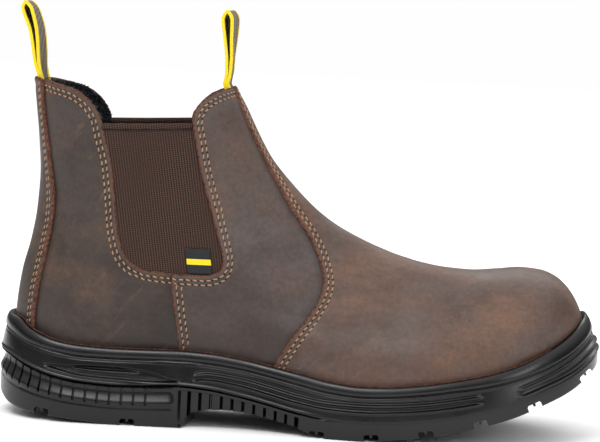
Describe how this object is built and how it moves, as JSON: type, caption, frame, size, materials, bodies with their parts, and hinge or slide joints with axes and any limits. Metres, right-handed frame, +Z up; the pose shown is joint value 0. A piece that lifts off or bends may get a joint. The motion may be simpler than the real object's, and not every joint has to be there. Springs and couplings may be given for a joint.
{
  "type": "pull-on work boot",
  "caption": "Low pull-on leather work boot for the right foot, with elastic side panels, two pull loops and a lugged rubber sole.",
  "frame": {"origin": "on the floor, under the middle of the shoe's length and width", "axes": "+X from heel to toe, +Y towards the inner side of the right foot, +Z up"},
  "size_m": [0.308, 0.1075, 0.2112],
  "materials": {
    "upper_leather": "oiled nubuck, dull",
    "sole_rubber": "satin black rubber",
    "elastic": "dark brown ribbed elastic",
    "lining": "black pile lining",
    "loop_webbing": "grey-brown webbing with yellow edges",
    "tag_cloth": "black woven tag"
  },
  "bodies": {
    "root": {"outsole": "sole_rubber", "midsole": "sole_rubber", "insole": "lining", "upper": "upper_leather", "gore_lateral": "elastic", "gore_medial": "elastic", "side_tag": "tag_cloth", "back_pull_loop": "loop_webbing", "front_pull_loop": "loop_webbing"}
  },
  "joints": []
}
